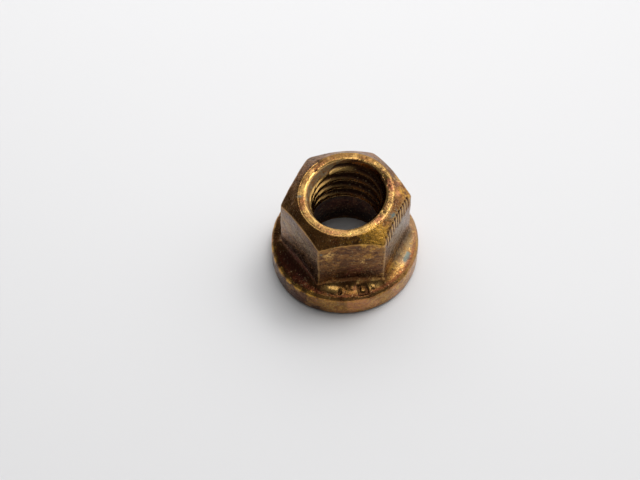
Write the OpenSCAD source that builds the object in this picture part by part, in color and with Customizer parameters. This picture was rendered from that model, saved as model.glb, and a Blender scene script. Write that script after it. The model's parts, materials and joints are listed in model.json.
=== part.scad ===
// Hexagon flange nut with a crimped, self-locking top.
// The nut stands on its flange: +Z runs up the thread axis and the origin is on the axis at the
// bearing face. Two of the six flats face +Y and -Y. Millimetres.

/* [Hexagon] */
// Distance across the flats
across_flats = 11; // [10.8:0.1:12]
// Overall height of the nut
nut_h = 10; // [9.6:0.1:11]
// Outer diameter of the flat ring on top
crown_d = 9.4; // [9:0.1:9.8]
// Slope of the chamfer between the ring and the flats, from the horizontal
crown_angle = 37; // [30:1:40]

/* [Flange] */
// Outer diameter of the flange
flange_d = 14.5; // [14:0.1:16]
// Height of the flange's upright rim
rim_h = 2.15; // [1.8:0.05:2.4]
// Radius of the rim's upper edge
rim_round = 0.3; // [0.15:0.05:0.45]
// Slope of the flange's upper side, from the horizontal
flange_slope = 25; // [20:1:32]
// Bevel along the lower edges of the rim and of the bore
foot_bevel = 0.25; // [0.1:0.05:0.4]

/* [Bore] */
// Nominal diameter of the thread
thread_d = 8; // [7.9:0.05:8.1]
// Pitch of the thread
thread_pitch = 1.25; // [1:0.25:1.5]
// Diameter of the mouth in the top ring
mouth_d = 8; // [8:0.05:8.4]
// Depth of the smooth, conical mouth above the thread
mouth_h = 1; // [0.6:0.1:1.4]
// Narrowing of the mouth's diameter over that depth
mouth_draft = 1.05; // [0.3:0.05:1.1]
// Diameter of the plain bore below the thread
relief_d = 8.2; // [8.1:0.05:8.6]
// Height of the plain bore, from the bearing face
relief_h = 3.9; // [3:0.1:4.6]

/* [Crimp] */
// Number of grooves that the crimping jaw leaves in the pressed flat
groove_count = 11; // [5:1:12]
// Distance between grooves
groove_pitch = 0.5; // [0.4:0.02:0.5]
// Depth of each groove
groove_depth = 0.12; // [0.06:0.01:0.15]
// Height of the grooved band below the chamfer
groove_h = 1.6; // [0.8:0.1:2]
// Direction that the grooved flat faces, from +X
crimp_azimuth = -30; // [-30:60:150]

/* [Hidden] */
// Segments of a full turn
round_fn = 96;
// How far a cutting shape runs past the surface that it cuts
clear = 1;

flat_r = across_flats / 2;
corner_r = flat_r / cos(30);
crown_r = crown_d / 2;
flange_r = flange_d / 2;
tap_r = (thread_d - thread_pitch) / 2;
mouth_r = mouth_d / 2;
mouth_floor_r = max(mouth_r - mouth_draft / 2, tap_r + 0.05);
relief_r = relief_d / 2;

// Heights along the axis
lead_in_h = mouth_floor_r - tap_r;
thread_top = nut_h - mouth_h - lead_in_h;
thread_foot = relief_h + relief_r - tap_r;
flat_top = nut_h - (flat_r - crown_r) * tan(crown_angle);

// Cone of the flange's upper side, tangent to the rim's rounded edge
round_r = flange_r - rim_round;
tangent_r = round_r + rim_round * sin(flange_slope);
tangent_z = rim_h + rim_round * cos(flange_slope);
slope_top_z = tangent_z + (tangent_r - crown_r) * tan(flange_slope);

module hexagon() {
    intersection() {
        cylinder(r = corner_r, h = nut_h, $fn = 6);
        rotate_extrude($fn = round_fn)
            polygon([
                [0, 0],
                [corner_r + clear, 0],
                [corner_r + clear, nut_h - (corner_r + clear - crown_r) * tan(crown_angle)],
                [crown_r, nut_h],
                [0, nut_h]
            ]);
    }
}

module flange() {
    rotate_extrude($fn = round_fn) {
        polygon([
            [0, 0],
            [flange_r - foot_bevel, 0],
            [flange_r, foot_bevel],
            [flange_r, rim_h],
            [round_r, rim_h],
            [tangent_r, tangent_z],
            [crown_r, slope_top_z],
            [0, slope_top_z]
        ]);
        translate([round_r, rim_h])
            circle(r = rim_round, $fn = 48);
    }
}

// Smooth mouth, thread wall at its minor diameter, and the wider plain bore below it
module bore() {
    rotate_extrude($fn = round_fn)
        polygon([
            [0, -clear],
            [relief_r + foot_bevel + clear, -clear],
            [relief_r, foot_bevel],
            [relief_r, relief_h],
            [tap_r, thread_foot],
            [tap_r, thread_top],
            [mouth_floor_r, nut_h - mouth_h],
            [mouth_r, nut_h],
            [mouth_r, nut_h + clear],
            [0, nut_h + clear]
        ]);
}

// One upright V groove, its point groove_depth below the flat
module crimp_groove() {
    translate([flat_r, 0, flat_top - groove_h])
        linear_extrude(height = groove_h + clear)
            polygon([
                [-groove_depth, 0],
                [groove_depth, groove_pitch * 0.8],
                [groove_depth, -groove_pitch * 0.8]
            ]);
}

// The row of grooves on the pressed flat
module crimp_band(azimuth) {
    rotate([0, 0, azimuth])
        for (i = [0 : groove_count - 1])
            translate([0, (i - (groove_count - 1) / 2) * groove_pitch, 0])
                crimp_groove();
}

module flange_nut() {
    color("#a8722e")
        difference() {
            union() {
                hexagon();
                flange();
            }
            bore();
            crimp_band(crimp_azimuth);
        }
}

flange_nut();
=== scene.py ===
import json
import math
import random

import bpy
import numpy as np
from mathutils import Matrix, Vector, noise


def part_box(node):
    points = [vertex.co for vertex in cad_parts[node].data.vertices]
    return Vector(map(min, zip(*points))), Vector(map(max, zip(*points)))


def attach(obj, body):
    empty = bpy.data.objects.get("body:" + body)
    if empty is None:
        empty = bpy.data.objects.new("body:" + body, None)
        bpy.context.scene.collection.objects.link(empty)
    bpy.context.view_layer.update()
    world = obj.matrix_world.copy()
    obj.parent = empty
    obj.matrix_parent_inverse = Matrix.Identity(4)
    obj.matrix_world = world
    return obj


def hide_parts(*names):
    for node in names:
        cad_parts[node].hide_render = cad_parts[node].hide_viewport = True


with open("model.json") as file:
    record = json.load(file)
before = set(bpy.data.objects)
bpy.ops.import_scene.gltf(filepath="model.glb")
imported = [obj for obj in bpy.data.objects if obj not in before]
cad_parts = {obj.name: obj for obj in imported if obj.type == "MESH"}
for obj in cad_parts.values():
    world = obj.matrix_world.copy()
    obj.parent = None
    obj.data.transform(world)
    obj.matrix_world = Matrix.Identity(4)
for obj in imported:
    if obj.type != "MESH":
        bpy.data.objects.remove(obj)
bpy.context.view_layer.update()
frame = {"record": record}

MM = 0.001

# ---------------------------------------------------------------- sizes from the frame, millimetres
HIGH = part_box("flange_nut")[1]
MOUNTS = {m["name"]: m for m in frame["record"]["mounts"]}
HEIGHT = HIGH[2] / MM
FLANGE_R = HIGH[0] / MM
TAP_R = MOUNTS["thread"]["dims"]["r_mm"]
RELIEF_R = MOUNTS["relief_bore"]["dims"]["r_mm"]
RELIEF_TOP = MOUNTS["relief_bore"]["pos_m"][2] / MM + MOUNTS["relief_bore"]["dims"]["length_mm"] / 2

# ---------------------------------------------------------------- sizes of the nut, millimetres
FLAT_R = 5.5                      # half the width across flats
CORNER_ROUND = 0.2                # radius of the six upright edges
BACK_CORNER_ROUND = 0.5           # at the top of the two back edges, which are worn
CROWN_R = 4.7                     # outer radius of the flat ring on top
CROWN_SLOPE = math.radians(37)    # chamfer, from the horizontal
RIM_TOP = 2.5                     # where the flange's slope would meet the rim's wall
FLANGE_SLOPE = math.radians(19)
BULGE = 0.22                      # how far the flange is out of round, and where
BULGE_MIDDLE = math.radians(-138)
BULGE_SPREAD = math.radians(34)
MOUTH_R = 3.98
MOUTH_TAPER = 0.53                # narrowing of the mouth's radius per millimetre of depth
THREAD_PITCH = 1.25
THREAD_DEPTH = 0.64
CREST_HALF = 0.04                 # half the width of the flat on a thread crest
FLANK = 0.5                       # how far along the axis a thread flank runs
THREAD_PHASE = 0.73               # height of a crest at azimuth 0, as a share of the pitch
LAST_TURN = 6                     # whole turns below the groove in which the thread ends
RUN_OUT = (math.radians(95), math.radians(118))   # azimuths over which crimping has closed that groove
LEDGE = 0.19                      # how far crimping pushed the first crest in at the left
BACK_LEDGE = 0.28                 # the same at the back
LEDGE_SPREAD = 0.17
SQUEEZE = 0.13                    # how far it pushed the crests below that one in at the left
SQUEEZE_MIDDLE = math.radians(168)
SQUEEZE_SPREAD = math.radians(38)

# A crimping jaw pressed one flat and left upright grooves in it.
CRIMP_FACE = math.radians(-30)
PRESS_DEPTH = 0.08
GROOVES = 11
GROOVE_PITCH = 0.5
GROOVE_DEPTH = 0.18
GROOVE_LOW = 7.75                 # mean height of their lower ends

# The top is slightly oval: the share by which each radius, in millimetres, is squeezed at full height.
OVAL_RADII = (0, 3.5, 4.0, 4.7, 5.6, 6.4)
OVAL_SHARES = (0.07, 0.07, 0.05, 0.042, 0.012, 0.008)

# Random dents: how many, then the radius and height they lie at, their size and the deepest of them.
DENTS = (
    (26, MOUTH_R + 0.02, HEIGHT, 0.13, 0.07),
    (22, CROWN_R, HEIGHT, 0.14, 0.05),
    (24, FLANGE_R - 0.1, RIM_TOP - 0.1, 0.2, 0.06),
    (14, FLANGE_R, 1.3, 0.24, 0.03),
    (10, 4.35, HEIGHT, 0.12, 0.03),
)
DENTS_PER_CORNER = 4
RIM_NICKS = (-102.5, -100.5, -98)         # azimuths in degrees of three upright nicks in the rim
MOUTH_CHIPS = 9                           # random chips in the mouth's edge, at the right and the back
CHIPPED = (8, 78)                         # between these azimuths in degrees

ZONES = ("foot", "rim", "slope", "flat", "chamfer", "crown", "bore")
TURN_STEPS = 485                  # points in one turn of the mesh
ROW_GAP = 0.08                    # height between two rows of the mesh in the threaded part of the bore
SEED = 7


def smoothstep(low, high, value):
    t = np.clip((value - low) / (high - low), 0, 1)
    return t * t * (3 - 2 * t)


def smooth_max(a, b, blend):
    overlap = np.maximum(blend - np.abs(a - b), 0)
    return np.maximum(a, b) + overlap * overlap / (4 * blend)


def angle_gap(a, b):
    """Signed difference of two angles, between minus and plus half a turn."""
    return (a - b + math.pi) % (2 * math.pi) - math.pi


# ---------------------------------------------------------------- section of the nut
def turn_angles(count):
    """Angles round the axis, closer together at the hexagon's edges, on the grooved flat and at the front."""
    fine = np.linspace(0, 2 * math.pi, 14400, endpoint=False)
    to_corner = np.abs((fine + math.pi / 6) % (math.pi / 3) - math.pi / 6)
    to_grooves = np.abs(angle_gap(fine, CRIMP_FACE))
    to_front = np.abs(angle_gap(fine, math.radians(-92)))
    weight = 1 + 4 * np.exp(-(to_corner / math.radians(2.4)) ** 2)
    weight += 1.3 * smoothstep(math.radians(34), math.radians(27), to_grooves)
    weight += 0.9 * smoothstep(math.radians(46), math.radians(30), to_front)
    share = np.cumsum(weight)
    share = (share - share[0]) / (share[-1] + weight[0] - share[0])
    return np.interp(np.arange(count) / count, share, fine)


def hexagon_radius(theta, rounding):
    """Distance from the axis to the hexagon's side, with rounded upright edges."""
    off_flat = np.abs(theta % (math.pi / 3) - math.pi / 6)
    flat = FLAT_R / np.cos(off_flat)
    centre = (FLAT_R - rounding) / math.cos(math.pi / 6)
    off_corner = math.pi / 6 - off_flat
    inside = np.maximum(rounding ** 2 - (centre * np.sin(off_corner)) ** 2, 0)
    rounded = centre * np.cos(off_corner) + np.sqrt(inside)
    tangent = np.arctan((FLAT_R - rounding) * math.tan(math.pi / 6) / FLAT_R)
    return np.where(off_flat < tangent, flat, rounded)


def thread_radius(theta, z):
    """Right-hand internal thread with rounded crests and roots."""
    turns = z / THREAD_PITCH - theta / (2 * math.pi) - THREAD_PHASE
    from_crest = np.abs((turns + 0.5) % 1 - 0.5) * THREAD_PITCH
    rise = np.clip((from_crest - CREST_HALF) / FLANK, 0, 1)
    soft = rise * rise * (3 - 2 * rise)
    cut = THREAD_DEPTH * (0.25 * rise + 0.75 * soft)
    turned = (theta + math.pi / 2) % (2 * math.pi) - math.pi / 2
    last_root = THREAD_PITCH * (LAST_TURN + 0.5 + THREAD_PHASE + turned / (2 * math.pi))
    closed_above = last_root - 0.1 + 0.55 * smoothstep(RUN_OUT[1], RUN_OUT[0], turned)
    return TAP_R + cut * smoothstep(closed_above, closed_above - 0.35, z)


def bore_radius(theta, z):
    """The hole's radius: conical mouth, thread, then the wider plain bore."""
    mouth = MOUTH_R - (HEIGHT - z) * MOUTH_TAPER
    relief = RELIEF_R - np.maximum(z - RELIEF_TOP, 0)
    plain = smooth_max(mouth, relief, 0.1)
    return smooth_max(plain, thread_radius(theta, z), 0.06) - crimped_in(theta, z)


def crimped_in(theta, z):
    """How far crimping pushed the thread towards the axis: the first crest as a ledge, those below at the left."""
    azimuth = np.degrees(theta)
    back = smoothstep(138, 112, azimuth)
    ledge = np.exp(-((z - first_crest(theta) - 0.14 - 0.11 * back) / LEDGE_SPREAD) ** 2)
    ledge = ledge * (LEDGE + (BACK_LEDGE - LEDGE) * back)
    ledge = ledge * smoothstep(70, 105, azimuth) * smoothstep(225, 190, azimuth)
    squeeze = np.exp(-(angle_gap(theta, SQUEEZE_MIDDLE) / SQUEEZE_SPREAD) ** 2)
    squeeze = squeeze * smoothstep(RELIEF_TOP + 0.3, 6, z) * smoothstep(-0.2, -0.8, z - first_crest(theta))
    return ledge + SQUEEZE * squeeze


def first_crest(theta):
    """Height of the topmost thread crest, which is whole only at the left."""
    return THREAD_PITCH * (LAST_TURN + THREAD_PHASE + theta / (2 * math.pi))


def root_depth(theta, z):
    """How deep in a thread groove each point of the bore lies, from 0 on a crest to 1 at a root, painted as shade."""
    depth = (thread_radius(theta, z) - TAP_R) / THREAD_DEPTH
    azimuth = np.degrees(theta)
    left = smoothstep(95, 135, azimuth) * smoothstep(250, 215, azimuth)
    unshaded = smoothstep(108, 125, azimuth) * smoothstep(-0.1, 0.05, z - first_crest(theta))
    return smoothstep(0.15 + 0.2 * left, 0.5 + 0.35 * left, depth) * smoothstep(9.7, 9.4, z) * (1 - unshaded)


def thread_wear_and_highlight(theta, z):
    """Painted highlight on the thread at the left, partly metal rubbed bright: crests and the sides that face up."""
    azimuth = np.degrees(theta)
    left = smoothstep(80, 130, azimuth) * smoothstep(250, 215, azimuth)
    first = smoothstep(65, 95, azimuth) * smoothstep(250, 215, azimuth)
    above = z - first_crest(theta)
    return np.maximum(left * (1 - root_depth(theta, z)) * smoothstep(0.0, -0.3, above),
                      first * smoothstep(-0.35, -0.15, above) * smoothstep(0.42, 0.32, above))


def corner_rows(before, corner, after, size_before, size_after, count):
    """Points of a curve that rounds a corner of the section, from size_before ahead of it to size_after past it."""
    start = corner + (before - corner) / np.linalg.norm(before - corner, axis=0) * size_before
    end = corner + (after - corner) / np.linalg.norm(after - corner, axis=0) * size_after
    return [(1 - t) ** 2 * start + 2 * t * (1 - t) * corner + t * t * end for t in np.linspace(0, 1, count)]


def between(start, end, count):
    """Points strictly between two ends."""
    return [start + (end - start) * t for t in np.linspace(0, 1, count + 2)[1:-1]]


def section(theta):
    """The closed outline of the nut's section at every angle: rows of (radius, height), and each row's zone."""
    ones = np.ones_like(theta)
    side = hexagon_radius(theta, CORNER_ROUND)
    back = smoothstep(-0.2, 1, np.cos(theta - math.radians(75)))
    top_side = hexagon_radius(theta, CORNER_ROUND + 0.08 + (BACK_CORNER_ROUND - CORNER_ROUND) * back)

    def point(radius, height):
        return np.array([radius * ones, height * ones])

    root = point(side, RIM_TOP + (FLANGE_R - side) * math.tan(FLANGE_SLOPE))
    edge = point(top_side, HEIGHT - (top_side - CROWN_R) * math.tan(CROWN_SLOPE))
    flange = FLANGE_R + BULGE * np.exp(-(angle_gap(theta, BULGE_MIDDLE) / BULGE_SPREAD) ** 2)
    foot_in, foot_out = point(RELIEF_R, 0), point(flange, 0)
    rim = point(flange, RIM_TOP)
    crown, mouth = point(CROWN_R, HEIGHT), point(MOUTH_R, HEIGHT)
    down_the_mouth = point(MOUTH_R - MOUTH_TAPER, HEIGHT - 1)
    root_size = 0.3 + 0.6 * (FLANGE_R - side) / (FLANGE_R - FLAT_R)

    # zone before the corner; the corner between the points before and after it; how far its rounding reaches
    # either way; rows in the rounding; rows from there to the next corner
    corners = [
        ("foot", point(RELIEF_R, 1), foot_in, foot_out, 0.2, 0.2, 4, 7),
        ("foot", foot_in, foot_out, rim, 0.34, 0.34, 6, 9),
        ("rim", foot_out, rim, root, 0.42, 0.36, 9, 15),
        ("slope", rim, root, edge, root_size, root_size, 11, 26),
        ("flat", root, edge, crown, 0.13, 0.13, 7, 13),
        ("chamfer", edge, crown, mouth, 0.1, 0.1, 6, 5),
        ("crown", crown, mouth, down_the_mouth, 0.1, 0.1, 6, 0),
    ]
    rows, zones = [], []
    for index, (zone, *rounding, arc, span) in enumerate(corners):
        curve = corner_rows(*rounding, arc)
        rows += curve
        zones += [zone] * (arc // 2) + [ZONES[index]] * (arc - arc // 2)
        if span:
            following = corners[index + 1]
            rows += between(curve[-1], corner_rows(*following[1:7])[0], span)
            zones += [ZONES[index]] * span
    heights = np.concatenate([
        np.arange(HEIGHT - 2 * ROW_GAP, RELIEF_TOP + 0.2, -ROW_GAP),
        np.linspace(RELIEF_TOP + 0.2, 0.25, 9),
    ])
    for z in heights:
        rows.append(np.array([bore_radius(theta, z), z * ones]))
    zones += ["bore"] * len(heights)
    return np.array(rows), zones


# ---------------------------------------------------------------- shaping in space
def crimp(x, y, z):
    """Squeezes the top slightly oval across the pressed flat, most of all in the bore."""
    radius, theta = np.hypot(x, y), np.arctan2(y, x)
    amount = np.interp(radius, OVAL_RADII, OVAL_SHARES) * smoothstep(0.42 * HEIGHT, 0.98 * HEIGHT, z)
    scale = 1 - amount * np.cos(2 * (theta - CRIMP_FACE))
    return x * scale, y * scale


def jaw_marks(x, y, z, draw):
    """How far the crimping jaw pushed each point in along the flat's normal: a pressed band and a row of grooves."""
    out = x * math.cos(CRIMP_FACE) + y * math.sin(CRIMP_FACE)
    across = y * math.cos(CRIMP_FACE) - x * math.sin(CRIMP_FACE)
    depth = PRESS_DEPTH * smoothstep(7.9, 9.3, z) * smoothstep(3.3, 2.7, np.abs(across))
    for index in range(GROOVES):
        middle = (index - (GROOVES - 1) / 2) * GROOVE_PITCH + draw.uniform(-0.03, 0.03)
        low = GROOVE_LOW + draw.uniform(-0.3, 0.3)
        lean = draw.uniform(0.02, 0.07)
        off = np.abs(across - middle - lean * (z - 8.5)) / (0.45 * GROOVE_PITCH)
        vee = np.clip(1 - off, 0, 1)
        depth = depth + GROOVE_DEPTH * draw.uniform(0.75, 1.15) * vee * smoothstep(low, low + 0.6, z)
    return depth * smoothstep(5.12, 5.32, out)


def flange_marks(x, y, z):
    """Height of the plain marks on the flange's front: a low ridge, a dimple, pips and a sunk square with a pip."""
    def local(azimuth, radius):
        angle = math.radians(azimuth)
        out = x * math.cos(angle) + y * math.sin(angle)
        across = y * math.cos(angle) - x * math.sin(angle)
        return out - radius, across

    out, across = local(-108, 6.35)
    height = 0.16 * np.exp(-(across / 1.05) ** 2 - (out / 0.3) ** 2)
    out, across = local(-100.5, 6.55)
    height -= 0.14 * smoothstep(0.3, 0.1, np.hypot(out, across))
    for azimuth, radius, size in ((-94.2, 6.12, 0.2), (-89.3, 6.2, 0.17), (-71.3, 6.45, 0.2)):
        out, across = local(azimuth, radius)
        height += 0.1 * smoothstep(size + 0.06, size - 0.1, np.abs(out) + np.abs(across))
    out, across = local(-80.4, 6.42)
    height -= 0.16 * smoothstep(0.62, 0.46, np.maximum(np.abs(out), np.abs(across)))
    height += 0.15 * smoothstep(0.3, 0.14, np.hypot(out, across))
    return height * smoothstep(2.25, 2.45, z) * smoothstep(4.2, 3.6, z)


def dents(points, draw):
    """Depth of random small dents, most of them on the edges."""
    x, y, z = points[..., 0], points[..., 1], points[..., 2]
    depth = np.zeros_like(x)

    def dent(azimuth, r, height, size, deep, stretch=1.0):
        centre = (r * math.cos(azimuth), r * math.sin(azimuth), height)
        gap = (x - centre[0]) ** 2 + (y - centre[1]) ** 2 + ((z - centre[2]) / stretch) ** 2
        return deep * np.exp(-gap / (size * size))

    for count, r, height, size, deep in DENTS:
        for _ in range(count):
            depth += dent(draw.uniform(0, 2 * math.pi), r, height + draw.uniform(-0.05, 0.05),
                          size * draw.uniform(0.6, 1.4), deep * draw.uniform(0.3, 1))
    corner_r = FLAT_R / math.cos(math.pi / 6)
    for corner in range(6):
        for _ in range(DENTS_PER_CORNER):
            depth += dent(corner * math.pi / 3 + draw.uniform(-0.02, 0.02), corner_r - 0.1, draw.uniform(3.4, 8.9),
                          draw.uniform(0.12, 0.25), draw.uniform(0.02, 0.06), 1.8)
    for azimuth in RIM_NICKS:
        depth += dent(math.radians(azimuth), FLANGE_R, 1.5, 0.11, 0.1, 4)
    for _ in range(MOUTH_CHIPS):
        depth += dent(math.radians(draw.uniform(*CHIPPED)), MOUTH_R + 0.1, HEIGHT, 0.15, draw.uniform(0.05, 0.12))
    return depth


def ripple(points, size, amplitude, octaves):
    """Smooth random unevenness."""
    flat = points.reshape(-1, 3) / size
    values = [noise.fractal(Vector(p), 0.6, 2.0, octaves) for p in flat]
    return amplitude * np.array(values).reshape(points.shape[:2])


def surface_normals(points):
    """Outward normals of a grid that closes on itself both ways."""
    along = np.roll(points, -1, 0) - np.roll(points, 1, 0)
    around = np.roll(points, -1, 1) - np.roll(points, 1, 1)
    normal = np.cross(around, along)
    return normal / np.maximum(np.linalg.norm(normal, axis=2, keepdims=True), 1e-12)


def bend(points, normals):
    """How sharply the surface bends outwards at each point, per millimetre: above 0 on an edge, below in a crease."""
    total = 0
    for axis in (0, 1):
        ahead = np.roll(points, -1, axis) - points
        behind = points - np.roll(points, 1, axis)
        length_a = np.linalg.norm(ahead, axis=2, keepdims=True)
        length_b = np.linalg.norm(behind, axis=2, keepdims=True)
        turn = (ahead / length_a - behind / length_b) * 2 / (length_a + length_b)
        total = total - np.sum(turn * normals, axis=2)
    return soften(total, 4)


def soften(values, times):
    for _ in range(times):
        for axis in (0, 1):
            values = 0.5 * values + 0.25 * (np.roll(values, 1, axis) + np.roll(values, -1, axis))
    return values


def shoulder(points):
    """A painted dark reflection just inside the rim's upper edge, most of it at the front."""
    x, y, z = points[..., 0], points[..., 1], points[..., 2]
    band = np.exp(-((np.hypot(x, y) - 6.86) / 0.24) ** 2) * smoothstep(2.2, 2.35, z)
    return band * (0.4 + 0.6 * smoothstep(1.5, -3.5, y))


def mouth_dirt(theta, z):
    """Dull dirt on the left of the conical mouth, above the bright part of the first crest."""
    wall = smoothstep(0.36, 0.48, z - first_crest(theta)) * smoothstep(9.97, 9.88, z)
    return wall * smoothstep(-0.1, 0.5, np.cos(theta - math.radians(165)))


def blob(points, azimuth, r, height, size):
    """A soft round patch, 1 at its middle."""
    angle = math.radians(azimuth)
    centre = np.array([r * math.cos(angle), r * math.sin(angle), height])
    return np.exp(-np.sum((points - centre) ** 2, axis=2) / (size * size))


# ---------------------------------------------------------------- the nut
def build_nut():
    draw = random.Random(SEED)
    theta = turn_angles(TURN_STEPS)
    rows, zones = section(theta)
    radius, height = rows[:, 0], rows[:, 1]
    x, y = crimp(radius * np.cos(theta), radius * np.sin(theta), height)
    outside = np.array([zone != "bore" for zone in zones])[:, None]
    pushed = jaw_marks(x, y, height, draw) * outside
    points = np.stack([x - pushed * math.cos(CRIMP_FACE), y - pushed * math.sin(CRIMP_FACE), height], -1)

    normals = surface_normals(points)
    marks = flange_marks(points[..., 0], points[..., 1], height) * outside
    sunk = dents(points, draw)
    uneven = ripple(points, 1.6, 0.022, 2) + ripple(points, 0.4, 0.008, 2)
    off_foot = smoothstep(0.0, 0.35, height)[..., None]
    points = points + normals * (marks - sunk + uneven)[..., None] * off_foot

    normals = surface_normals(points)
    bending = bend(points, normals)
    zone_masks = {
        zone: soften(np.repeat(np.array([float(z == zone) for z in zones])[:, None], len(theta), 1), 2)
        for zone in ZONES
    }
    rubbed_and_lit = sum(mask * RUBBED[zone] for zone, mask in zone_masks.items())
    # in the bore, edges stay bright only at the left, where the light falls: a painted highlight
    rubbed_and_lit = rubbed_and_lit - zone_masks["bore"] * 0.7 * smoothstep(0.6, -0.2, np.cos(theta - math.radians(160)))
    rubbed_and_lit = np.maximum(rubbed_and_lit, 0.9 * smoothstep(0.01, 0.05, soften(pushed, 6)))
    paint = {
        "wear_and_glint": smoothstep(0.8, 4.0, bending) * rubbed_and_lit,
        # painted shade in creases, sunk marks and the jaw's grooves, partly grime
        "grime_and_shade": (smoothstep(0.25, 1.8, -bending) * (1 - 0.9 * zone_masks["bore"] * thread_wear_and_highlight(theta, height))
                  + smoothstep(0.02, 0.1, -marks) + smoothstep(0.12, 0.2, pushed)),
        # painted shade low in the bore
        "deep": zone_masks["bore"] * smoothstep(2.7, 1.2, points[..., 2]),
        # painted shade in the thread grooves
        "root": zone_masks["bore"] * root_depth(theta, height) * smoothstep(RELIEF_TOP, RELIEF_TOP + 0.3, height),
        # painted dark reflection just inside the rim's edge
        "shoulder": shoulder(points),
        "mouth_dirt": zone_masks["bore"] * mouth_dirt(theta, height),
        # painted highlight on the thread at the left, partly rubbed metal
        "bright": zone_masks["bore"] * thread_wear_and_highlight(theta, height) * smoothstep(RELIEF_TOP, RELIEF_TOP + 0.3, height),
        **{"zone_" + zone: mask for zone, mask in zone_masks.items()},
        **{"patch_" + name: patches(points, places) for name, places in PATCHES.items()},
    }
    mesh = closed_grid("flange_nut_surface", points)
    for name, values in paint.items():
        layer = mesh.attributes.new(name, "FLOAT", "POINT")
        layer.data.foreach_set("value", np.clip(values, 0, 1).astype(np.float32).ravel())
    nut = bpy.data.objects.new("flange_nut_surface", mesh)
    bpy.context.scene.collection.objects.link(nut)
    return nut


def closed_grid(name, points):
    """A mesh of a grid that closes on itself both ways."""
    rows, turns = points.shape[:2]
    index = np.arange(rows * turns).reshape(rows, turns)
    beside, above = np.roll(index, -1, 1), np.roll(index, -1, 0)
    quads = np.stack([index, beside, np.roll(above, -1, 1), above], -1)
    mesh = bpy.data.meshes.new(name)
    mesh.from_pydata((points.reshape(-1, 3) * MM).tolist(), [], quads.reshape(-1, 4).tolist())
    mesh.polygons.foreach_set("use_smooth", [True] * len(mesh.polygons))
    mesh.update()
    return mesh


# How easily each zone's edges are rubbed down to bright metal.
RUBBED = {"foot": 0.1, "rim": 0.1, "slope": 0.5, "flat": 0.3, "chamfer": 0.3, "crown": 1.0, "bore": 1.0}
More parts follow.
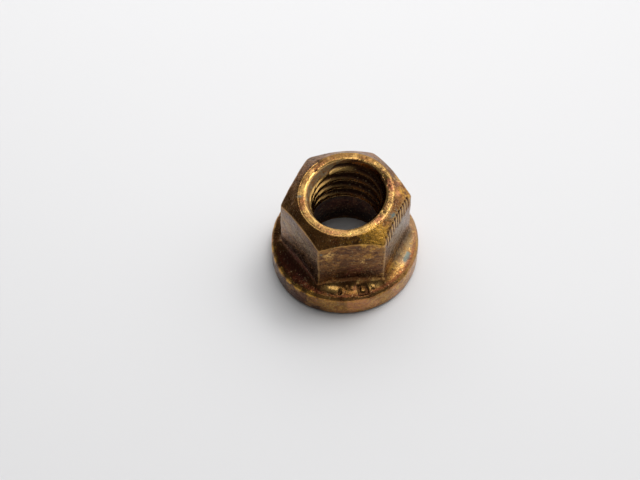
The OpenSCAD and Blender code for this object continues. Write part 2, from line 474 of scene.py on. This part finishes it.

# Where tarnish and bright metal lie, and where shade and highlights are painted: azimuth in degrees, radius, height and
# size in millimetres, strength.
PATCHES = {
    # tarnish; the patches on the left of the flange and low on the flats at the front and left are painted shade
    "dark": [
        (-165, 6.4, 2.8, 1.9, 1.4), (-145, 6.4, 2.8, 1.9, 1.4), (-127, 6.7, 2.6, 1.4, 1.3), (170, 6.6, 2.8, 1.5, 0.9),
        (175, 5.6, 8.9, 1.6, 0.6), (-160, 5.4, 9.1, 1.8, 0.8), (-130, 5.4, 9.1, 1.8, 0.7),
        (-95, 5.7, 3.9, 1.7, 0.9), (-72, 5.7, 4.2, 1.7, 0.9), (-117, 6.2, 4.6, 1.5, 0.8),
        (-145, 5.6, 4.2, 1.5, 0.6),
    ],
    "red": [
        (-152, 6.6, 2.7, 0.7, 0.4), (-107, 5.2, 9.4, 0.6, 0.8), (8, 5.5, 9.3, 0.7, 0.8), (-99, 7.0, 2.5, 0.8, 0.8),
        (-75, 7.05, 2.5, 1.0, 0.8), (-60, 7.0, 2.6, 0.9, 0.7), (-15, 7.1, 2.3, 0.9, 0.7), (-132, 7.2, 1.6, 0.9, 0.6),
        (-88, 5.5, 5.0, 1.6, 0.8), (-118, 7.0, 2.4, 1.2, 0.55), (-66, 5.8, 5.2, 0.9, 0.6), (-40, 5.9, 3.9, 1.0, 0.5),
    ],
    # amber plating; the patches along the rim's upper edge at the left are a painted highlight
    "amber": [
        (-62, 5.3, 9.4, 1.3, 1.15), (-76, 5.2, 9.5, 1.1, 0.85), (2, 5.4, 9.4, 0.9, 0.8), (-95, 5.2, 9.5, 1.0, 0.45),
        (-12, 7.2, 2.0, 1.4, 0.7), (-40, 7.2, 1.6, 1.6, 0.7), (-85, 7.2, 1.7, 1.6, 0.5), (-175, 7.3, 2.35, 0.5, 1.0),
        (-166, 7.35, 2.35, 0.45, 1.0), (-154, 7.4, 2.35, 0.6, 1.0), (-144, 7.45, 2.35, 0.45, 1.0),
        (-134, 7.45, 2.35, 0.5, 1.0), (-123, 7.4, 2.35, 0.6, 0.9), (165, 7.25, 2.0, 0.9, 0.9),
        (-112, 5.8, 6.9, 0.8, 0.5), (-72, 5.6, 7.4, 0.8, 0.5),
        (-48, 5.8, 3.9, 1.2, 1.1), (-36, 5.6, 4.0, 1.2, 0.6),
    ],
    "copper": [
        (-116, 6.35, 2.9, 0.5, 0.45), (-107, 6.3, 2.9, 0.6, 0.5), (-97, 6.5, 2.8, 0.5, 0.4), (-76, 6.7, 2.7, 0.6, 0.3),
        (-2, 5.0, 9.7, 0.5, 0.9), (12, 5.2, 9.5, 0.4, 0.9), (-60, 6.4, 2.9, 0.6, 0.3), (105, 5.1, 9.6, 0.8, 0.7),
    ],
    "bronze": [
        (60, 4.3, 10.0, 1.2, 1.1), (90, 4.3, 10.0, 1.4, 1.3), (120, 4.3, 10.0, 1.4, 1.2), (150, 4.3, 10.0, 1.0, 1.0),
        (185, 4.3, 10.0, 0.9, 1.1), (-150, 4.3, 10.0, 0.7, 0.8),
    ],
    # mostly painted shade: at the foot of the rim at the front left, on the left of the flange and in the bore's right
    # side
    "plum": [
        (-172, 7.3, 0.7, 1.0, 1.2), (-152, 7.3, 0.7, 1.3, 1.6), (-135, 7.3, 0.6, 1.2, 1.6), (-118, 7.3, 0.3, 0.9, 1.1),
        (-155, 6.3, 2.9, 1.6, 1.2), (-138, 6.3, 2.9, 1.4, 1.2), (20, 3.8, 9.2, 2.4, 0.9), (-20, 3.8, 9.0, 2.0, 0.9),
        (60, 3.6, 7.5, 2.6, 0.8), (0, 3.5, 6.0, 3.0, 0.9), (100, 3.5, 5.2, 2.0, 0.7), (-95, 5.6, 6.2, 0.9, 0.6),
    ],
    # bright metal; the patches on the bore's left are a painted highlight
    "gold": [
        (165, 3.6, 8.6, 1.3, 1.0), (190, 3.6, 8.2, 1.5, 1.0), (140, 3.6, 8.2, 1.2, 0.8), (175, 3.6, 6.5, 1.5, 0.7),
        (-40, 6.3, 2.9, 1.2, 0.6), (-25, 6.2, 2.9, 1.0, 0.4), (-84, 6.2, 3.0, 1.0, 0.6),
        (-68, 6.3, 2.9, 1.0, 0.8), (-108, 6.3, 2.8, 1.0, 1.0), (18, 5.4, 9.4, 0.7, 0.8), (90, 5.2, 9.5, 1.4, 0.5),
        (-112, 5.8, 8.0, 0.9, 0.6), (-75, 7.2, 1.5, 1.2, 0.5), (-50, 7.2, 1.5, 1.2, 0.5), (-80, 5.5, 6.6, 0.7, 0.5),
    ],
    "grey": [
        (-152, 5.8, 7.5, 1.9, 0.7), (-135, 5.8, 7.3, 1.7, 0.65), (-170, 5.8, 7.0, 1.6, 0.65), (-30, 5.5, 6.8, 2.3, 1.0),
        (-20, 5.6, 5.6, 2.0, 0.8), (-42, 5.6, 7.4, 1.6, 0.8), (-33, 5.0, 9.7, 1.0, 0.6), (-30, 6.1, 3.1, 1.6, 1.0),
        (-10, 6.6, 2.8, 1.5, 1.2), (8, 6.7, 2.8, 1.3, 1.2), (-33, 6.65, 2.7, 0.8, 1.1), (30, 5.5, 7.0, 2.0, 0.9),
        (150, 5.5, 6.0, 2.0, 0.9), (100, 5.5, 9.2, 1.2, 0.7), (-17, 7.2, 1.4, 1.6, 0.5),
    ],
    "green": [
        (-30.5, 6.45, 2.8, 0.34, 1.1), (-27, 6.5, 2.8, 0.38, 1.1), (-23.5, 6.5, 2.8, 0.34, 1.1),
        (-33, 5.0, 9.75, 0.4, 0.7), (-22, 5.1, 9.7, 0.4, 0.6), (-118.5, 6.2, 8.2, 0.25, 0.8), (178, 4.4, 10, 0.4, 0.7),
    ],
}


def patches(points, places):
    total = np.zeros(points.shape[:2])
    for azimuth, r, height, size, strength in places:
        total = np.maximum(total, strength * blob(points, azimuth, r, height, size))
    return total


# ---------------------------------------------------------------- material
# Colours of the metal and of what lies on it, in linear light.
GILT = (0.78, 0.47, 0.15)
AMBER = (0.62, 0.32, 0.05)
BRASS = (0.50, 0.26, 0.06)
BRONZE = (0.29, 0.125, 0.037)
UMBER = (0.075, 0.028, 0.010)
OXBLOOD = (0.125, 0.034, 0.016)
PLUM = (0.055, 0.015, 0.013)
DIRT = (0.26, 0.21, 0.12)
STRAW = (0.62, 0.50, 0.27)
COPPER = (0.66, 0.27, 0.12)
STEEL = (0.255, 0.198, 0.115)
GREEN = (0.10, 0.165, 0.16)
SHADE_BLACK = (0.014, 0.006, 0.005)
RUST = (0.19, 0.075, 0.04)

# Between which levels of patch and noise together a patch fades in.
SOFT_EDGE = (1.9, 3.0)
RAGGED_EDGE = (2.15, 2.7)

# The patches, tarnish with painted shade and highlights among them, in the order they lie on each other: name, colour,
# strength and edge.
STAINS_AND_PAINTED_LIGHT = (
    ("grey", STEEL, 0.8, SOFT_EDGE),
    ("dark", UMBER, 0.92, RAGGED_EDGE),
    ("plum", PLUM, 0.85, RAGGED_EDGE),
    ("copper", COPPER, 0.8, RAGGED_EDGE),
    ("bronze", BRONZE, 0.75, RAGGED_EDGE),
    ("red", OXBLOOD, 0.85, RAGGED_EDGE),
    ("gold", GILT, 0.8, RAGGED_EDGE),
    ("amber", AMBER, 0.85, RAGGED_EDGE),
    ("green", GREEN, 0.8, RAGGED_EDGE),
)


class Shader:
    """Short ways to add nodes to a material's tree."""

    def __init__(self, name):
        self.material = bpy.data.materials.new(name)
        self.material.use_nodes = True
        self.tree = self.material.node_tree
        self.surface = self.tree.nodes["Principled BSDF"]
        self.place = self.millimetres()

    def put(self, socket, value):
        if isinstance(value, bpy.types.NodeSocket):
            self.tree.links.new(value, socket)
        elif isinstance(value, tuple) and len(value) == 3 and socket.type == "RGBA":
            socket.default_value = (*value, 1)
        else:
            socket.default_value = value

    def millimetres(self):
        coordinates = self.tree.nodes.new("ShaderNodeTexCoord")
        scale = self.tree.nodes.new("ShaderNodeVectorMath")
        scale.operation = "SCALE"
        self.put(scale.inputs[0], coordinates.outputs["Object"])
        scale.inputs["Scale"].default_value = 1 / MM
        return scale.outputs[0]

    def stretched(self, factors):
        node = self.tree.nodes.new("ShaderNodeVectorMath")
        node.operation = "MULTIPLY"
        self.put(node.inputs[0], self.place)
        node.inputs[1].default_value = factors
        return node.outputs[0]

    def noise(self, scale, detail=4, rough=0.6, warp=0.0, place=None):
        node = self.tree.nodes.new("ShaderNodeTexNoise")
        self.put(node.inputs["Vector"], place or self.place)
        node.inputs["Scale"].default_value = scale
        node.inputs["Detail"].default_value = detail
        node.inputs["Roughness"].default_value = rough
        node.inputs["Distortion"].default_value = warp
        return node.outputs["Fac"]

    def mask(self, name):
        node = self.tree.nodes.new("ShaderNodeAttribute")
        node.attribute_name = name
        return node.outputs["Fac"]

    def sum(self, *terms):
        """Weighted sum: each term is (socket, weight)."""
        total = None
        for socket, weight in terms:
            node = self.tree.nodes.new("ShaderNodeMath")
            node.operation = "MULTIPLY_ADD"
            self.put(node.inputs[0], socket)
            node.inputs[1].default_value = weight
            self.put(node.inputs[2], total if total is not None else 0.0)
            total = node.outputs[0]
        return total

    def times(self, a, b):
        node = self.tree.nodes.new("ShaderNodeMath")
        node.operation = "MULTIPLY"
        self.put(node.inputs[0], a)
        self.put(node.inputs[1], b)
        return node.outputs[0]

    def step(self, value, low, high):
        """0 below low, 1 above high, smooth between; the other way round when low is the larger."""
        node = self.tree.nodes.new("ShaderNodeMapRange")
        node.interpolation_type = "SMOOTHSTEP"
        self.put(node.inputs["Value"], value)
        ends = (low, high, 0, 1) if low < high else (high, low, 1, 0)
        for name, end in zip(("From Min", "From Max", "To Min", "To Max"), ends):
            node.inputs[name].default_value = end
        return node.outputs["Result"]

    def scaled(self, value, low, high):
        node = self.tree.nodes.new("ShaderNodeMapRange")
        self.put(node.inputs["Value"], value)
        node.inputs["To Min"].default_value = low
        node.inputs["To Max"].default_value = high
        return node.outputs["Result"]

    def mix(self, share, a, b, how="MIX"):
        node = self.tree.nodes.new("ShaderNodeMix")
        node.data_type = "RGBA"
        node.blend_type = how
        self.put(node.inputs["Factor"], share)
        self.put(node.inputs["A"], a)
        self.put(node.inputs["B"], b)
        return node.outputs["Result"]

    def bump(self, height, distance, strength, under=None):
        node = self.tree.nodes.new("ShaderNodeBump")
        self.put(node.inputs["Height"], height)
        node.inputs["Distance"].default_value = distance * MM
        node.inputs["Strength"].default_value = strength
        if under is not None:
            self.put(node.inputs["Normal"], under)
        return node.outputs["Normal"]


def plated_steel():
    """Copper-coloured plating worn to gold on the edges, brown to olive where it has tarnished, with painted shade and
    highlights.
    """
    s = Shader("plated_steel")
    broad = s.noise(0.5, 3, 0.55, 0.6)
    middle = s.noise(1.4, 5, 0.65, 0.8)
    fine = s.noise(3.6, 4, 0.7, 0.4)
    grit = s.noise(8.5, 3, 0.75)
    streak = s.noise(0.8, 5, 0.7, 0.9, s.stretched((1.0, 1.0, 3.0)))
    zone = {name: s.mask("zone_" + name) for name in ("rim", "slope", "flat", "chamfer", "crown", "bore")}
    wear_and_glint, grime_and_shade, deep = s.mask("wear_and_glint"), s.mask("grime_and_shade"), s.mask("deep")

    # the plating everywhere: brass to bronze, with copper blushes
    colour = s.mix(s.step(s.sum((middle, 0.5), (fine, 0.5)), 0.40, 0.60), BRONZE, BRASS)
    colour = s.mix(s.times(s.step(broad, 0.50, 0.62), 0.5), colour, COPPER)

    # flats: thinner plating, blotched in loose horizontal bands
    bands = s.sum((streak, 0.5), (middle, 0.5))
    flat = s.mix(s.step(bands, 0.38, 0.64), UMBER, BRONZE)
    flat = s.mix(s.times(s.step(s.sum((streak, 0.6), (fine, 0.4)), 0.48, 0.64), 0.5), flat, BRASS)
    colour = s.mix(zone["flat"], colour, flat)

    # chamfer and bore: brown tarnish, and painted shade deep in the bore
    tarnish = s.mix(s.step(s.sum((middle, 0.6), (fine, 0.4)), 0.40, 0.56), UMBER, BRONZE)
    colour = s.mix(s.times(zone["chamfer"], 0.7), colour, tarnish)
    bore = s.mix(s.step(middle, 0.36, 0.66), PLUM, RUST)
    colour = s.mix(zone["bore"], colour, bore)
    # painted shade deep in the bore
    colour = s.mix(s.times(deep, 0.85), colour, SHADE_BLACK)

    # the ring on top: rubbed bright, speckled with copper and brown
    crown = s.mix(s.step(broad, 0.46, 0.60), GILT, COPPER)
    crown = s.mix(s.times(s.step(fine, 0.52, 0.62), 0.5), crown, BRONZE)
    crown = s.mix(s.times(s.step(grit, 0.52, 0.66), 0.45), crown, BRONZE)
    colour = s.mix(zone["crown"], colour, crown)

    # patches with ragged edges, some of them painted shade and highlights
    ragged = s.sum((middle, 0.9), (fine, 0.7), (grit, 0.3))
    stains_and_painted_light = {}
    for name, tint, strength, edge in STAINS_AND_PAINTED_LIGHT:
        share = s.step(s.sum((s.mask("patch_" + name), 1.0), (ragged, 1.9)), *edge)
        stains_and_painted_light[name] = s.times(share, strength)
        colour = s.mix(stains_and_painted_light[name], colour, tint)

    # painted dark reflection just inside the rim's edge
    colour = s.mix(s.times(s.mask("shoulder"), s.scaled(middle, 0.5, 1.2)), colour, OXBLOOD)

    mouth_dirt = s.mask("mouth_dirt")
    colour = s.mix(mouth_dirt, colour, s.mix(s.step(fine, 0.42, 0.6), BRONZE, DIRT))
    # painted shade in the thread grooves
    colour = s.mix(s.times(s.mask("root"), 0.92), colour, SHADE_BLACK)
    # painted highlight on the thread at the left, partly rubbed metal
    colour = s.mix(s.times(s.mask("bright"), s.scaled(middle, 0.5, 1.2)), colour, GILT)

    # pepper of dark pits and a few light grains
    pits = s.step(grit, 0.60, 0.70)
    colour = s.mix(s.times(pits, 0.7), colour, UMBER)
    grains = s.step(s.noise(6.5, 2, 0.6), 0.63, 0.70)
    colour = s.mix(s.times(grains, 0.6), colour, STRAW)
    # painted contact shade on the foot
    colour = s.mix(s.times(s.mask("zone_foot"), 0.75), colour, PLUM)

    # edges rubbed to gold, with a painted highlight on the bore's left; creases, sunk marks and grooves painted dark as
    # shade, partly brown grime
    colour = s.mix(s.times(wear_and_glint, s.scaled(middle, 0.4, 1.1)), colour, GILT)
    colour = s.mix(s.times(grime_and_shade, 0.85), colour, UMBER)
    s.put(s.surface.inputs["Base Color"], colour)

    crust = s.sum((stains_and_painted_light["green"], 0.4), (mouth_dirt, 0.6), (pits, 0.12), (grime_and_shade, 0.05))
    s.put(s.surface.inputs["Metallic"], s.sum((crust, -1.0), (1.0, 1.0)))
    rough = s.sum((middle, 0.3), (fine, 0.2), (crust, 0.4), (wear_and_glint, -0.1))
    s.put(s.surface.inputs["Roughness"], rough)
    uneven = s.sum((zone["bore"], -0.8), (zone["flat"], -0.5), (zone["slope"], -0.3), (wear_and_glint, -0.7), (1.0, 1.0))
    lumps = s.sum((uneven, 1.0), (zone["crown"], -0.6))
    normal = s.bump(s.times(middle, lumps), 0.13, 0.7)
    normal = s.bump(s.times(s.sum((fine, 0.7), (streak, 0.3)), uneven), 0.04, 0.8, normal)
    speckle = s.times(s.sum((grit, 0.4), (pits, -0.6), (grains, 0.4)), uneven)
    normal = s.bump(speckle, 0.014, 0.8, normal)
    s.put(s.surface.inputs["Normal"], normal)
    return s.material


# ---------------------------------------------------------------- camera, light and floor
CAMERA_TARGET = Vector((0, 0, 0.9 * FLAT_R)) * MM
CAMERA_DISTANCE = 0.156
CAMERA_LENS = 90
CAMERA_AZIMUTH = math.radians(-7.1)
CAMERA_ELEVATION = math.radians(55.58)
CAMERA_ROLL = math.radians(-1.52)
AIM_RIGHT = math.radians(0.912)   # how far right of the picture's middle the target lies, and how far up
AIM_UP = math.radians(0.581)
FACING = Matrix.Rotation(CAMERA_AZIMUTH, 3, "Z")

# Directions as the camera faces: right, away, up. Powers in watts, sizes and distances in metres.
WARM_WHITE = (1, 0.98, 0.95)
WHITE = (1, 1, 1)
BRIGHT_SIDE = (0.62, 0.6, 0.5)
FLOOR_COLOUR = (0.67, 0.67, 0.68, 1)
FLOOR_SIZE = 1.2


def place_camera():
    data = bpy.data.cameras.new("camera")
    data.lens = CAMERA_LENS
    data.sensor_width = 36
    data.clip_start = 0.01
    camera = bpy.data.objects.new("camera", data)
    facing = FACING @ Matrix.Rotation(math.pi / 2 - CAMERA_ELEVATION, 3, "X")
    off_centre = Vector((math.tan(AIM_RIGHT), math.tan(AIM_UP), -1)).normalized()
    aim = Vector((0, 0, -1)).rotation_difference(off_centre).to_matrix()
    turn = facing @ Matrix.Rotation(-CAMERA_ROLL, 3, "Z") @ aim.transposed()
    place = CAMERA_TARGET + facing @ Vector((0, 0, CAMERA_DISTANCE))
    camera.matrix_world = Matrix.Translation(place) @ turn.to_4x4()
    bpy.context.scene.collection.objects.link(camera)
    bpy.context.scene.camera = camera


def lamp(name, towards, distance, size, power, colour):
    """A square soft light, placed in a direction from the nut and facing it."""
    data = bpy.data.lights.new(name, "AREA")
    data.shape = "SQUARE"
    data.size = size
    data.energy = power
    data.color = colour
    light = bpy.data.objects.new(name, data)
    direction = (FACING @ Vector(towards)).normalized()
    light.location = direction * distance
    light.rotation_euler = direction.to_track_quat("Z", "Y").to_euler()
    bpy.context.scene.collection.objects.link(light)
    return light


def light_room():
    """A dim room with a bright side behind and to the right."""
    world = bpy.data.worlds.new("studio")
    world.use_nodes = True
    tree = world.node_tree
    direction = tree.nodes.new("ShaderNodeTexCoord")
    side = tree.nodes.new("ShaderNodeVectorMath")
    side.operation = "DOT_PRODUCT"
    tree.links.new(direction.outputs["Generated"], side.inputs[0])
    side.inputs[1].default_value = (FACING @ Vector(BRIGHT_SIDE)).normalized()
    level = tree.nodes.new("ShaderNodeMapRange")
    level.interpolation_type = "SMOOTHSTEP"
    tree.links.new(side.outputs["Value"], level.inputs["Value"])
    for name, value in (("From Min", 0.48), ("From Max", 1.0), ("To Min", 0.13), ("To Max", 1.45)):
        level.inputs[name].default_value = value
    background = tree.nodes["Background"]
    background.inputs["Color"].default_value = (1, 1, 1, 1)
    tree.links.new(level.outputs["Result"], background.inputs["Strength"])
    bpy.context.scene.world = world


def light_scene():
    lamp("key", (0.4, 0.36, 0.84), distance=0.3, size=0.1, power=0.14, colour=WARM_WHITE)
    lamp("overhead", (0.0, -0.08, 1.0), distance=0.3, size=0.12, power=0.09, colour=WARM_WHITE)
    # two more that light the table and don't show as highlights on the metal
    for table_light in (
        lamp("table_fill", (-0.35, 0.65, 0.7), distance=0.15, size=0.16, power=0.105, colour=WHITE),
        lamp("table_key", (0.25, 0.27, 0.93), distance=0.22, size=0.09, power=0.2, colour=WHITE),
    ):
        table_light.visible_glossy = False
    light_room()
    bpy.context.scene.view_settings.view_transform = "Standard"


def lay_floor():
    bpy.ops.mesh.primitive_plane_add(size=FLOOR_SIZE)
    floor = bpy.context.object
    floor.name = "floor"
    material = bpy.data.materials.new("floor")
    material.use_nodes = True
    shader = material.node_tree.nodes["Principled BSDF"]
    shader.inputs["Base Color"].default_value = FLOOR_COLOUR
    shader.inputs["Roughness"].default_value = 0.6
    floor.data.materials.append(material)


place_camera()
light_scene()
lay_floor()
nut = build_nut()
nut.data.materials.append(plated_steel())
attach(nut, "root")
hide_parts("flange_nut")
